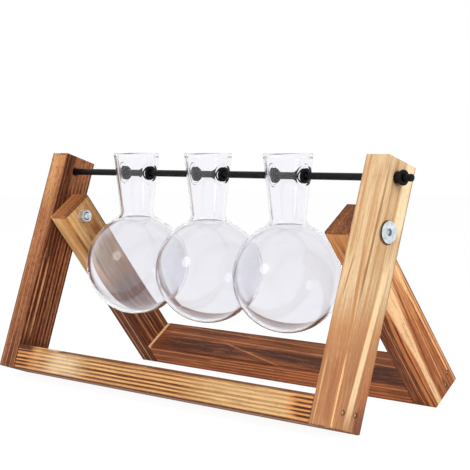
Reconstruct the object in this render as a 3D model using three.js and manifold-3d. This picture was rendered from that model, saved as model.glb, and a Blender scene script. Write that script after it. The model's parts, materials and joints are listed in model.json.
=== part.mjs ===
// Bulb vase with stand: three glass bulbs that hang on a rod in a folding frame of wooden bars.
// Millimetres, +Z up. The rod runs along X, and the front of the stand faces -Y.
import * as THREE from 'three';
import { mergeVertices } from 'three/addons/utils/BufferGeometryUtils.js';
import Module from 'manifold-3d';

// Glass bulbs
const bulbDiameter = 70;
const bulbGap = 1.7; // between neighbouring bulbs
const bulbDrop = 28.4; // from the rod's axis down to the top of the bulb's sphere
const glassWall = 2;
const mouthDiameter = 32;
const mouthAboveRod = 13.8;
const mouthBead = 2.6; // thickness of the fire-polished rim
const neckTaper = 6.4; // degrees on each side
const neckFillet = 5; // outer radius where the neck runs into the bulb

// Hanging rod, and the rubber on it
const rodDiameter = 4.5;
const rodBelowTop = 11; // from the uprights' top ends
const rodForward = 2.5; // ahead of the uprights' centre line
const rodProud = 11.5; // beyond the uprights' outer faces
const rodChamfer = 0.5;
const stopWall = 2.4; // rubber round the rod in an end stop's flange
const stopSleeveWall = 1.3; // and in the sleeve behind it
const stopSleeve = 3.6; // from the wood to the flange
const stopFlange = 2.2; // thickness
const stopRounding = 0.9;
const grommetWall = 1.4; // rubber and its clearance, from the rod to the hole in the glass
const flangeLip = 1.15; // how far a grommet's flanges reach over the hole's edge
const flangeThickness = 0.9; // at a flange's thinnest point
const flangeChamfer = 0.4;

// Wooden bars
const barThickness = 17.4;
const barWidth = 26.6;
const barChamfer = 0.8;
const underBulb = 50.4; // of an upright's length, below the bulbs
const endSpace = 15.4; // between an end bulb and the rear leg beside it
const frontLean = 18.5; // degrees that the uprights lean back
const rearLean = 37.6; // degrees that the rear legs lean forward
const pivotBelowRod = 32.2; // along an upright
const legOverhang = 9.4; // of a rear leg beyond its pivot
const footWear = 0.6; // rubbed off the edges that stand on the table

// Pivot bolts, with their washers and nuts
const boltDiameter = 5;
const boltProud = 1.8; // beyond the nut
const boltChamfer = 0.7;
const headDiameter = 13.4;
const headHeight = 1.5;
const headRounding = 0.9;
const socketAcrossFlats = 4;
const socketDepth = 2.1;
const washerDiameter = 8.8;
const washerThickness = 1;
const nutAcrossFlats = 8;
const nutHeight = 4;
const nutChamferSlope = 30; // degrees

// Nails of the corner joints
const nailDiameter = 1.6;
const nailHeadDiameter = 2.2;
const nailHeadHeight = 0.8;
const nailPoint = 2.5;
const nailBite = 13.5; // into the end of a rail
const nailSink = 0.2; // below the outer face
const frontNails = [{ fromBack: 19.2, rise: 10 }, { fromBack: 8, rise: 10.5 }];
const rearNails = [{ fromBack: 10.5, rise: 5.2 }, { fromBack: 4.9, rise: 10.6 }];

// Clearances
const fitGap = 0.3; // round a pin, and between faces that turn on each other
const gripGap = 0.15; // rubber on the rod, and a nut on its thread
const seatGap = 0.05; // between flat faces that are clamped or glued

// Facets round a full circle
const roundSides = { vase: 32, rubber: 20, steel: 20, nail: 8 };

// Facets along an arc of a profile
const arcSteps = { bulb: 11, fillet: 3, rim: 6, edge: 3 };

// Sizes that follow
const bulbRadius = bulbDiameter / 2;
const rodRadius = rodDiameter / 2;
const halfWidth = barWidth / 2;
const bulbSpacing = bulbDiameter + bulbGap;
const bulbPlaces = { left: -bulbSpacing, middle: 0, right: bulbSpacing };
const legInnerX = bulbPlaces.right + bulbRadius + endSpace;
const legOuterX = legInnerX + barThickness;
const uprightInnerX = legOuterX + fitGap;
const uprightOuterX = uprightInnerX + barThickness;
const uprightLength = rodBelowTop + bulbDrop + bulbDiameter + underBulb;
const pivotHeight = uprightLength - rodBelowTop - pivotBelowRod;
const vaseHoleRadius = rodRadius + grommetWall;
const flangeRadius = vaseHoleRadius + flangeLip;
const stopLength = stopFlange + stopSleeve;

// The uprights stand on their back edges, and the rear legs reach down until their front edges do too.
const frontAngle = THREE.MathUtils.degToRad(frontLean);
const rearAngle = THREE.MathUtils.degToRad(rearLean);
const pivotOverTable = pivotHeight * Math.cos(frontAngle) + halfWidth * Math.sin(frontAngle);
const legBelowPivot = (pivotOverTable - halfWidth * Math.sin(rearAngle)) / Math.cos(rearAngle);

// Solids
const wasm = await Module();
wasm.setup();

function toSolid(geometry) {
  const bare = geometry.clone();
  bare.deleteAttribute('normal');
  bare.deleteAttribute('uv');
  const merged = mergeVertices(bare);
  return new wasm.Manifold(new wasm.Mesh({
    numProp: 3,
    vertProperties: merged.attributes.position.array,
    triVerts: new Uint32Array(merged.index.array),
  }));
}

function toGeometry(solid) {
  const { vertProperties, triVerts } = solid.getMesh();
  const geometry = new THREE.BufferGeometry();
  geometry.setAttribute('position', new THREE.BufferAttribute(vertProperties, 3));
  geometry.setIndex(new THREE.BufferAttribute(triVerts, 1));
  geometry.computeVertexNormals();
  return geometry;
}

const point = (r, along) => new THREE.Vector2(r, along);

function arc(centre, radius, from, to, steps) {
  const clockwise = to < from;
  return new THREE.EllipseCurve(centre.x, centre.y, radius, radius, from, to, clockwise).getPoints(steps);
}

// A profile of radius and distance along the axis, turned about X.
function turnedAboutX(profile, sides) {
  return new THREE.LatheGeometry(profile, sides).rotateZ(-Math.PI / 2);
}

// A round bar along X between two places, for pins and for the holes that take them.
function pinAlongX({ y = 0, z = 0, radius, from, to, sides }) {
  const length = to - from;
  return new THREE.CylinderGeometry(radius, radius, length, sides)
    .rotateZ(-Math.PI / 2)
    .translate(from + length / 2, y, z);
}

function drill(geometry, holes) {
  return toGeometry(holes.reduce((solid, hole) => solid.subtract(toSolid(pinAlongX(hole))), toSolid(geometry)));
}

// Wooden bars: each is an outline in the stand's side plane, measured from the pivot, drawn out along X
const front = { angle: frontAngle, foot: -pivotHeight, head: uprightLength - pivotHeight, footEdge: 'back' };
const rear = { angle: rearAngle, foot: -legBelowPivot, head: legOverhang, footEdge: 'front' };

// The corner that stands on the table is rubbed flat, and the others are chamfered.
function barOutline(frame, top) {
  const corners = [
    point(-halfWidth, frame.foot), point(halfWidth, frame.foot), point(halfWidth, top), point(-halfWidth, top),
  ];
  const wornEnd = footWear / Math.sin(frame.angle);
  const wornSide = footWear / Math.cos(frame.angle);
  const cuts = corners.map(() => [barChamfer, barChamfer]);
  if (frame.footEdge === 'back') cuts[1] = [wornEnd, wornSide];
  else cuts[0] = [wornSide, wornEnd];
  const towards = (from, to, length) => from.clone().add(to.clone().sub(from).setLength(length));
  return corners.flatMap((corner, i) => [
    towards(corner, corners[(i + 3) % 4], cuts[i][0]),
    towards(corner, corners[(i + 1) % 4], cuts[i][1]),
  ]);
}

function bar(frame, top, length) {
  const geometry = new THREE.ExtrudeGeometry(new THREE.Shape(barOutline(frame, top)), {
    depth: length - 2 * barChamfer,
    bevelThickness: barChamfer,
    bevelSize: barChamfer,
    bevelOffset: -barChamfer,
    bevelSegments: 1,
  });
  geometry.translate(0, 0, barChamfer - length / 2);
  const drawnAlongX = new THREE.Matrix4().set(0, 0, 1, 0, 1, 0, 0, 0, 0, 1, 0, 0, 0, 0, 0, 1);
  return geometry.applyMatrix4(drawnAlongX);
}

const nailPlace = (frame, nail) => ({ y: halfWidth - nail.fromBack, z: frame.foot + nail.rise });
const acrossBar = { from: -barThickness, to: barThickness };
const pivotHole = { ...acrossBar, radius: boltDiameter / 2 + fitGap, sides: roundSides.steel };
const rodRise = front.head - rodBelowTop;
const rodHole = {
  ...acrossBar, y: -rodForward, z: rodRise, radius: rodRadius + fitGap, sides: roundSides.steel,
};

function nailHoles(frame, nails) {
  const radius = nailHeadDiameter / 2 + fitGap;
  return nails.map((nail) => ({ ...acrossBar, ...nailPlace(frame, nail), radius, sides: roundSides.nail }));
}

function upright() {
  return drill(bar(front, front.head, barThickness), [pivotHole, rodHole, ...nailHoles(front, frontNails)]);
}

function rearLeg() {
  return drill(bar(rear, rear.head, barThickness), [pivotHole, ...nailHoles(rear, rearNails)]);
}

// A rail lies flat between two bars, and their nails run into its ends.
function rail(frame, nails, innerX) {
  const end = innerX - seatGap;
  const depth = nailBite + fitGap;
  const holes = nails.flatMap((nail) => [-1, 1].map((side) => ({
    ...nailPlace(frame, nail),
    radius: nailDiameter / 2 + fitGap,
    from: Math.min(side * (end - depth), side * innerX),
    to: Math.max(side * (end - depth), side * innerX),
    sides: roundSides.nail,
  })));
  return drill(bar(frame, frame.foot + barThickness, 2 * end), holes);
}

// Nail: it points along +X, with the outer face of the wood at x = 0
function nail() {
  const tip = barThickness + nailBite;
  return turnedAboutX([
    point(0, nailSink),
    point(nailHeadDiameter / 2, nailSink),
    point(nailHeadDiameter / 2, nailSink + nailHeadHeight),
    point(nailDiameter / 2, nailSink + nailHeadHeight),
    point(nailDiameter / 2, tip - nailPoint),
    point(0, tip),
  ], roundSides.nail);
}

// Pivot bolt: its shank points along +X from under the head, which has a hexagon socket
const washerX = 2 * barThickness + fitGap + 2 * seatGap; // from under the head to the washer
const nutX = washerX + washerThickness + seatGap;
const boltLength = nutX + nutHeight + boltProud;

function hexagonPrism(acrossFlats, length) {
  return new THREE.CylinderGeometry(acrossFlats / Math.sqrt(3), acrossFlats / Math.sqrt(3), length, 6)
    .rotateZ(-Math.PI / 2);
}

function pivotBolt() {
  const boltRadius = boltDiameter / 2;
  const headRadius = headDiameter / 2;
  const crown = point(headRadius - headRounding, headRounding - headHeight);
  const body = turnedAboutX([
    point(0, -headHeight),
    ...arc(crown, headRounding, -Math.PI / 2, 0, arcSteps.edge),
    point(headRadius, 0),
    point(boltRadius, 0),
    point(boltRadius, boltLength - boltChamfer),
    point(boltRadius - boltChamfer, boltLength),
    point(0, boltLength),
  ], roundSides.steel);
  const socket = hexagonPrism(socketAcrossFlats, 2 * socketDepth).translate(-headHeight, 0, 0);
  return toGeometry(toSolid(body).subtract(toSolid(socket)));
}

function washer() {
  const bore = boltDiameter / 2 + fitGap;
  return turnedAboutX([
    point(bore, 0),
    point(washerDiameter / 2, 0),
    point(washerDiameter / 2, washerThickness),
    point(bore, washerThickness),
    point(bore, 0),
  ], roundSides.steel);
}

// A hexagon whose corners are turned off at both ends
function pivotNut() {
  const flat = nutAcrossFlats / 2;
  const corner = nutAcrossFlats / Math.sqrt(3);
  const turnedOff = (corner - flat) * Math.tan(THREE.MathUtils.degToRad(nutChamferSlope));
  const turned = turnedAboutX([
    point(0, 0),
    point(flat, 0),
    point(corner, turnedOff),
    point(corner, nutHeight - turnedOff),
    point(flat, nutHeight),
    point(0, nutHeight),
  ], roundSides.steel);
  const prism = hexagonPrism(nutAcrossFlats, 2 * nutHeight);
  const blank = toGeometry(toSolid(turned).intersect(toSolid(prism)));
  const thread = { radius: boltDiameter / 2 + gripGap, from: -nutHeight, to: 2 * nutHeight };
  return drill(blank, [{ ...thread, sides: roundSides.steel }]);
}

// Hanging rod, and the rubber stops pushed on to its ends
function hangingRod() {
  const end = uprightOuterX + rodProud;
  return turnedAboutX([
    point(0, -end),
    point(rodRadius - rodChamfer, -end),
    point(rodRadius, rodChamfer - end),
    point(rodRadius, end - rodChamfer),
    point(rodRadius - rodChamfer, end),
    point(0, end),
  ], roundSides.steel);
}

function rodStop() {
  const bore = rodRadius + gripGap;
  const sleeve = rodRadius + stopSleeveWall;
  const edge = rodRadius + stopWall - stopRounding;
  return turnedAboutX([
    point(bore, 0),
    ...arc(point(edge, stopRounding), stopRounding, -Math.PI / 2, 0, arcSteps.edge),
    ...arc(point(edge, stopFlange - stopRounding), stopRounding, 0, Math.PI / 2, arcSteps.edge),
    point(sleeve, stopFlange),
    point(sleeve, stopLength),
    point(bore, stopLength),
    point(bore, 0),
  ], roundSides.rubber);
}

// Glass vase: turned about Z, with the rod's axis at the origin
const taper = THREE.MathUtils.degToRad(neckTaper);
const upNeck = point(Math.sin(taper), Math.cos(taper));
const outOfNeck = point(Math.cos(taper), -Math.sin(taper));
const rim = point((mouthDiameter - mouthBead) / 2, mouthAboveRod - mouthBead / 2);
const bulbCentre = point(0, -bulbDrop - bulbRadius);

// The neck's radius at a height, so far out from the middle of its wall.
const neckRadius = (height, out) => rim.x + (height - rim.y) * Math.tan(taper) + out / Math.cos(taper);

// The fillet's centre touches both the neck and the bulb, so the inner fillet shares it.
function filletCentre() {
  const start = rim.clone().addScaledVector(outOfNeck, glassWall / 2 + neckFillet);
  const fromBulb = start.clone().sub(bulbCentre);
  const along = fromBulb.dot(upNeck);
  const reach = bulbRadius + neckFillet;
  return start.addScaledVector(upNeck, Math.sqrt(along ** 2 - fromBulb.lengthSq() + reach ** 2) - along);
}

function vaseProfile() {
  const fillet = filletCentre();
  const joint = fillet.clone().sub(bulbCentre).angle();
  const beadRadius = mouthBead / 2;
  const beadStart = -Math.acos(glassWall / mouthBead) - taper;
  const beadEnd = Math.PI + Math.acos(glassWall / mouthBead) - taper;
  return [
    ...arc(bulbCentre, bulbRadius, -Math.PI / 2, joint, arcSteps.bulb),
    ...arc(fillet, neckFillet, joint + Math.PI, Math.PI - taper, arcSteps.fillet).slice(1),
    ...arc(rim, beadRadius, beadStart, beadEnd, arcSteps.rim),
    ...arc(fillet, neckFillet + glassWall, Math.PI - taper, joint + Math.PI, arcSteps.fillet),
    ...arc(bulbCentre, bulbRadius - glassWall, joint, -Math.PI / 2, arcSteps.bulb).slice(1),
  ];
}

function vase() {
  const blown = new THREE.LatheGeometry(vaseProfile(), roundSides.vase).rotateX(Math.PI / 2);
  return drill(blown, [{
    radius: vaseHoleRadius, from: -mouthDiameter, to: mouthDiameter, sides: roundSides.rubber,
  }]);
}

// Rubber grommet in the hole on the +X side of a neck: its two flanges follow the glass between them
function grommet() {
  const wall = glassWall / 2;
  const outerFace = neckRadius(flangeRadius, wall) + fitGap + flangeThickness;
  const nearestGlass = Math.sqrt(neckRadius(-flangeRadius, -wall) ** 2 - flangeRadius ** 2);
  const innerFace = nearestGlass - fitGap - flangeThickness;
  const blank = turnedAboutX([
    point(0, innerFace),
    point(flangeRadius - flangeChamfer, innerFace),
    point(flangeRadius, innerFace + flangeChamfer),
    point(flangeRadius, outerFace - flangeChamfer),
    point(flangeRadius - flangeChamfer, outerFace),
    point(0, outerFace),
  ], roundSides.rubber);
  const height = 2 * flangeRadius;
  const outsideGlass = [-height, height].map((z) => point(neckRadius(z, wall + fitGap), z));
  const insideGlass = [height, -height].map((z) => point(neckRadius(z, -wall - fitGap), z));
  const glass = new THREE.LatheGeometry([...outsideGlass, ...insideGlass, outsideGlass[0]], roundSides.vase)
    .rotateX(Math.PI / 2);
  const through = { from: innerFace, to: outerFace, sides: roundSides.rubber };
  const sleeve = toSolid(pinAlongX({ ...through, radius: vaseHoleRadius - fitGap }));
  const flanges = toSolid(blank).subtract(toSolid(glass));
  return drill(toGeometry(flanges.add(sleeve)), [{
    ...through, from: 0, to: mouthDiameter, radius: rodRadius + gripGap,
  }]);
}

// Assembly
const paints = {
  paleWood: { color: '#d3a878', roughness: 0.65, metalness: 0 },
  honeyWood: { color: '#b98a5c', roughness: 0.65, metalness: 0 },
  redWood: { color: '#9c6643', roughness: 0.65, metalness: 0 },
  darkWood: { color: '#6d4630', roughness: 0.7, metalness: 0 },
  glass: { color: '#eef0f4', roughness: 0.03, metalness: 0, transparent: true, opacity: 0.3 },
  blackSteel: { color: '#171718', roughness: 0.45, metalness: 0.6 },
  rubber: { color: '#141414', roughness: 0.8, metalness: 0 },
  zinc: { color: '#c3ccd2', roughness: 0.3, metalness: 1 },
};

function addPiece(group, name, geometry, paint, place = {}) {
  const mesh = new THREE.Mesh(geometry, new THREE.MeshStandardMaterial(paints[paint]));
  mesh.name = name;
  mesh.position.set(place.x ?? 0, place.y ?? 0, place.z ?? 0);
  mesh.rotation.z = place.turned ? Math.PI : 0;
  group.add(mesh);
}

// A piece made for the left side, and the same piece turned round for the right.
function addPair(group, label, make, paint, { x, y, z }) {
  addPiece(group, `left_${label}`, make(), paint, { x: -x, y, z });
  addPiece(group, `right_${label}`, make(), paint, { x, y, z, turned: true });
}

function addNails(group, frame, nails, label, outerX) {
  nails.forEach((place, i) => {
    addPair(group, `${label}_nail_${i + 1}`, nail, 'zinc', { x: outerX, ...nailPlace(frame, place) });
  });
}

// Both frames turn about the pivot, which is each group's origin.
const frontFrame = new THREE.Group();
frontFrame.rotation.x = -frontAngle;
const uprightX = uprightOuterX - barThickness / 2;
addPiece(frontFrame, 'left_upright', upright(), 'honeyWood', { x: -uprightX });
addPiece(frontFrame, 'right_upright', upright(), 'paleWood', { x: uprightX });
addPiece(frontFrame, 'front_rail', rail(front, frontNails, uprightInnerX), 'paleWood');
addNails(frontFrame, front, frontNails, 'front', uprightOuterX);

const headX = uprightOuterX + seatGap;
addPair(frontFrame, 'pivot_bolt', pivotBolt, 'zinc', { x: headX });
addPair(frontFrame, 'nut_washer', washer, 'zinc', { x: headX - washerX });
addPair(frontFrame, 'pivot_nut', pivotNut, 'zinc', { x: headX - nutX });

const rodPlace = { y: -rodForward, z: rodRise };
addPiece(frontFrame, 'hanging_rod', hangingRod(), 'blackSteel', rodPlace);
addPair(frontFrame, 'rod_stop', rodStop, 'rubber', { ...rodPlace, x: uprightOuterX + seatGap + stopLength });

const rearFrame = new THREE.Group();
rearFrame.rotation.x = rearAngle;
const legX = legOuterX - barThickness / 2;
addPiece(rearFrame, 'left_rear_leg', rearLeg(), 'honeyWood', { x: -legX });
addPiece(rearFrame, 'right_rear_leg', rearLeg(), 'redWood', { x: legX });
addPiece(rearFrame, 'rear_rail', rail(rear, rearNails, legInnerX), 'darkWood');
addNails(rearFrame, rear, rearNails, 'rear', legOuterX);

// The vases hang straight down from the rod, whatever the lean of the stand.
const rodFromPivot = new THREE.Vector3(0, rodPlace.y, rodPlace.z).applyEuler(frontFrame.rotation);
const vases = Object.entries(bulbPlaces).map(([side, x]) => {
  const hung = new THREE.Group();
  hung.position.set(x, rodFromPivot.y, rodFromPivot.z);
  addPiece(hung, `${side}_vase`, vase(), 'glass');
  addPiece(hung, `${side}_vase_left_grommet`, grommet(), 'rubber', { turned: true });
  addPiece(hung, `${side}_vase_right_grommet`, grommet(), 'rubber');
  return hung;
});

// The origin is on the table, in the middle of the stand's box.
const stand = new THREE.Group().add(frontFrame, rearFrame, ...vases);
const box = new THREE.Box3().setFromObject(stand, true);
stand.position.set(0, -(box.min.y + box.max.y) / 2, -box.min.z);
const bulbVaseWithStand = new THREE.Group().add(stand);

export default bulbVaseWithStand;
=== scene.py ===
import json
import math

import bmesh
import bpy
from mathutils import Euler, Matrix, Vector


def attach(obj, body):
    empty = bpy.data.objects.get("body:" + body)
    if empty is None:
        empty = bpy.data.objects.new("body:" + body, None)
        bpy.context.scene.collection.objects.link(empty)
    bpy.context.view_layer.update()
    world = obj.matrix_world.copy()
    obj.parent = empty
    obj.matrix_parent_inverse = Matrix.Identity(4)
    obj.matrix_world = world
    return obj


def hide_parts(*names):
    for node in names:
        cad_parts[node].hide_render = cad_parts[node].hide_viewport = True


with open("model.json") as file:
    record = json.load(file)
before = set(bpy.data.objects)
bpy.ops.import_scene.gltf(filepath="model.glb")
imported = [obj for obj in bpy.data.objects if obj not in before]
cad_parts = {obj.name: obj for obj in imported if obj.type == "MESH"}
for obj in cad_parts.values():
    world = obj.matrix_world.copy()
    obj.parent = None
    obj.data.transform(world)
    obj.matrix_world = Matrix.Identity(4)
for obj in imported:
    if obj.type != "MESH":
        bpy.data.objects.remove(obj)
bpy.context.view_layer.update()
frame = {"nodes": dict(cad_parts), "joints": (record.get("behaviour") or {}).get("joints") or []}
print("frame loaded,", len(frame["nodes"]), "nodes")

mm = 0.001
joints = {joint["name"]: joint for joint in frame["joints"]}
pivot = Vector(joints["stand_fold"]["pos_m"]) / mm
rodAxis = Vector(joints["middle_bulb_swing"]["pos_m"]) / mm
sharpFrom = {  # edges that bend less are smooth
    "bar": math.radians(50), "turned": math.radians(40), "glass": math.radians(50)}


def srgb(red, green, blue):
    # a colour as a paint chart gives it, made linear
    def linear(value):
        value /= 255
        return value / 12.92 if value <= 0.04045 else ((value + 0.055) / 1.055) ** 2.4
    return (linear(red), linear(green), linear(blue), 1)


class Wire:
    # a node's output, so that node maths reads as Python
    def __init__(self, tree, socket=None):
        self.tree = tree
        self.socket = socket

    def add(self, kind, settings=None, sockets=None, out=0):
        node = self.tree.nodes.new(kind)
        for key, value in (settings or {}).items():
            setattr(node, key, value)
        for key, value in (sockets or {}).items():
            if isinstance(value, Wire):
                self.tree.links.new(value.socket, node.inputs[key])
            else:
                node.inputs[key].default_value = value
        return Wire(self.tree, node.outputs[out])

    def math(self, operation, *values):
        return self.add("ShaderNodeMath", {"operation": operation}, dict(enumerate((self,) + values)))

    def after(self, operation, first):
        return self.add("ShaderNodeMath", {"operation": operation}, {0: first, 1: self})

    def __add__(self, other):
        return self.math("ADD", other)

    __radd__ = __add__

    def __mul__(self, other):
        return self.math("MULTIPLY", other)

    __rmul__ = __mul__

    def __sub__(self, other):
        return self.math("SUBTRACT", other)

    def __rsub__(self, other):
        return self.after("SUBTRACT", other)

    def __truediv__(self, other):
        return self.math("DIVIDE", other)

    def __rtruediv__(self, other):
        return self.after("DIVIDE", other)

    def __neg__(self):
        return self.math("MULTIPLY", -1)

    def __abs__(self):
        return self.math("ABSOLUTE")

    def larger(self, other):
        return self.math("MAXIMUM", other)

    def upTo(self, limit):
        return self.math("MINIMUM", limit)

    def step(self, low, high):
        # 0 at low and 1 at high, with a soft start and end
        return self.add("ShaderNodeMapRange", {"interpolation_type": "SMOOTHSTEP"},
                        {"Value": self, "From Min": low, "From Max": high})

    def mix(self, first, second):
        return self.add("ShaderNodeMix", {"data_type": "RGBA"}, {0: self, 6: first, 7: second}, 2)

    def noise(self, scale, detail=2.0, **settings):
        key = "W" if settings.get("noise_dimensions") == "1D" else "Vector"
        return self.add("ShaderNodeTexNoise", settings, {key: self, "Scale": scale, "Detail": detail})

    def parts(self):
        # x, y and z of a vector
        first = self.add("ShaderNodeSeparateXYZ", {}, {0: self})
        return [Wire(self.tree, socket) for socket in first.socket.node.outputs]


def vector(x, y, z):
    start = next(part for part in (x, y, z) if isinstance(part, Wire))
    return start.add("ShaderNodeCombineXYZ", {}, {0: x, 1: y, 2: z})


def radiusOf(*parts):
    # distance from the origin of two or three lengths at right angles
    squares = [part * part for part in parts]
    return sum(squares[1:], squares[0]).math("SQRT")


def newMaterial(name, **constants):
    # the material, its shader, and the place on the piece as a start for its nodes
    material = bpy.data.materials.new(name)
    material.use_nodes = True
    shader = material.node_tree.nodes["Principled BSDF"]
    for key, value in constants.items():
        shader.inputs[key.replace("_", " ")].default_value = value
    place = Wire(material.node_tree).add("ShaderNodeTexCoord", {}, {}, "Object")
    return material, shader, place


def feed(shader, **wires):
    for key, wire in wires.items():
        wire.tree.links.new(wire.socket, shader.inputs[key.replace("_", " ")])


def bump(height, strength, distance):
    sockets = {"Height": height, "Strength": strength, "Distance": distance}
    return height.add("ShaderNodeBump", {}, sockets, "Normal")


def overlay(place, shader, layer, share):
    # a second finish mixed over the first, as the material's surface
    both = place.add("ShaderNodeMixShader", {}, {0: share, 1: Wire(place.tree, shader.outputs[0]), 2: layer})
    place.tree.links.new(both.socket, place.tree.nodes["Material Output"].inputs["Surface"])


def newObject(name, data):
    piece = bpy.data.objects.new(name, data)
    bpy.context.collection.objects.link(piece)
    return piece


def objectFrom(name, mesh, placed):
    # an object of a mesh in millimetres
    shape = bpy.data.meshes.new(name)
    mesh.transform(Matrix.Scale(mm, 4) @ placed)
    mesh.to_mesh(shape)
    mesh.free()
    return newObject(name, shape)


def settle(piece, modifier):
    # keeps what the modifier makes as a plain mesh
    shape = bpy.context.evaluated_depsgraph_get()
    made = bpy.data.meshes.new_from_object(piece.evaluated_get(shape), depsgraph=shape)
    piece.modifiers.remove(modifier)
    piece.data = made
    made.name = piece.name


def finish(piece, body, slot, *nodes):
    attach(piece, body)
    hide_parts(*nodes)


# Burnt wood: t is through a bar's thickness, w across its width and l along it, in millimetres

grainSizes = {  # repeats in a millimetre across and along the bar, and detail
    "fibre": (1.9, 0.055, 3.0), "strand": (0.85, 0.045, 2.0), "streak": (0.5, 0.018, 3.0),
    "cloud": (0.05, 0.016, 2.0),
}
ringNoise = {"swayT": 3.1, "swayW": 8.7, "seedStep": 17, "uneven": 0.31, "curl": 0.16, "curlStretch": 0.07}
speckNoise = {"scale": 0.9, "stretch": 0.35}
flame = {"fibreShift": 14, "cloudShift": 30, "fullAt": 0.35, "face": (1.6, 0.3), "edge": (2.0, 0.6)}
streakForm = {"slope": 0, "taper": 0, "least": 0.2, "fade": 10, "wander": 1.2, "edge": (1.25, 0.7),
              "frayed": 0.03}


def barAxes(place, along):
    x, y, z = place.parts()
    return (z, y, x) if along == "x" else (x, y, z)


def growthRings(t, w, l, wood):
    # rings round a pith that lies beside the bar and sways along it
    def sway(offset):
        wave = vector(wood["seed"], offset, l).noise(1 / wood["swayLength"], 1.0)
        return (wave - 0.5) * wood["sway"]
    pithT, pithW = wood["pith"]
    radius = radiusOf(t - pithT + sway(ringNoise["swayT"]), w - pithW + sway(ringNoise["swayW"]))
    shifted = radius + wood["seed"] * ringNoise["seedStep"]
    uneven = shifted.noise(ringNoise["uneven"], 1.0, noise_dimensions="1D")
    curl = vector(t, w, l * ringNoise["curlStretch"]).noise(ringNoise["curl"]) - 0.5
    return radius / wood["spacing"] + uneven * wood["uneven"] + curl * wood["curl"]


def ringTone(phase, rise, vary, fall=(1.0, 0.88)):
    # each ring darkens slowly and ends quickly, and no two are as strong
    part = phase.math("FRACT")
    strength = phase.add("ShaderNodeTexWhiteNoise", {"noise_dimensions": "1D"}, {"W": phase.math("FLOOR")})
    return part.step(*rise) * part.step(*fall) * (strength * vary + (1 - vary))


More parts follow.
